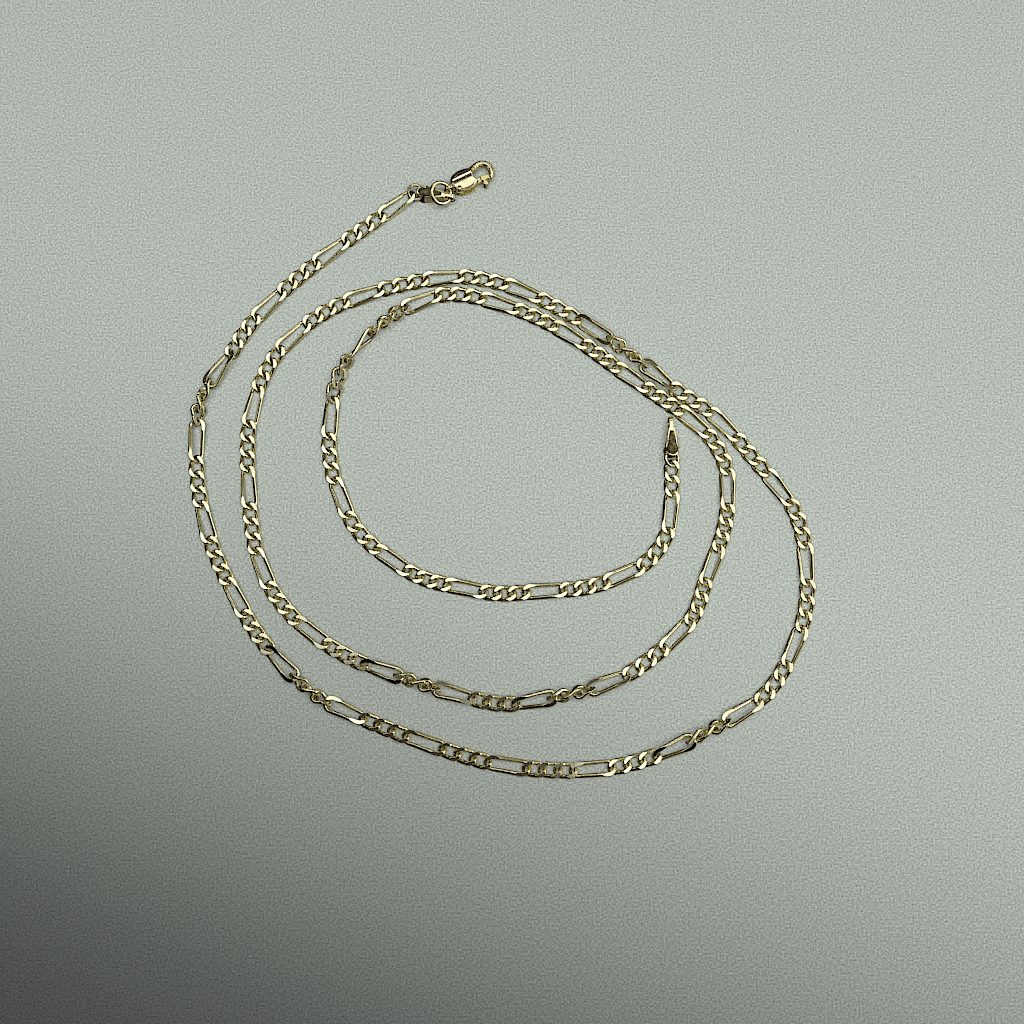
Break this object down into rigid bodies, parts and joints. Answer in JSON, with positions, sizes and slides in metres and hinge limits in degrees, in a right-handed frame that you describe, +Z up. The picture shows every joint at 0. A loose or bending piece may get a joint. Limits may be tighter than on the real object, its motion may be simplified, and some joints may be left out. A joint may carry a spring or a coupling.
{
  "type": "figaro chain necklace",
  "caption": "Gold figaro chain necklace lying in a loose spiral, with an end tag at each end and a lobster clasp on a jump ring.",
  "frame": {"origin": "middle of the laid chain's outline, on the surface that it lies on", "axes": "+Z up from the surface, +Y towards the side with the clasp, +X to the right seen from above"},
  "size_m": [0.0958, 0.0962, 0.0029],
  "materials": {
    "link_gold": "polished",
    "fitting_gold": "polished",
    "lever_gold": "polished"
  },
  "bodies": {
    "necklace": {"short_links": "link_gold", "long_links": "link_gold", "end_ring_outer": "fitting_gold", "end_ring_inner": "fitting_gold", "tag_outer": "fitting_gold", "tag_inner": "fitting_gold", "jump_ring": "fitting_gold", "clasp_body": "fitting_gold", "clasp_rivet": "fitting_gold"},
    "lever": {"clasp_lever": "lever_gold"}
  },
  "joints": [
    {"name": "lever_pivot", "type": "hinge", "parent": "necklace", "child": "lever", "pos_m": [-0.00637, 0.04323, 0.00115], "axis": [0, 0, 1], "range_deg": [0, 16], "stiffness_Nm_per_rad": 0.002, "springref_deg": -14.32}
  ]
}
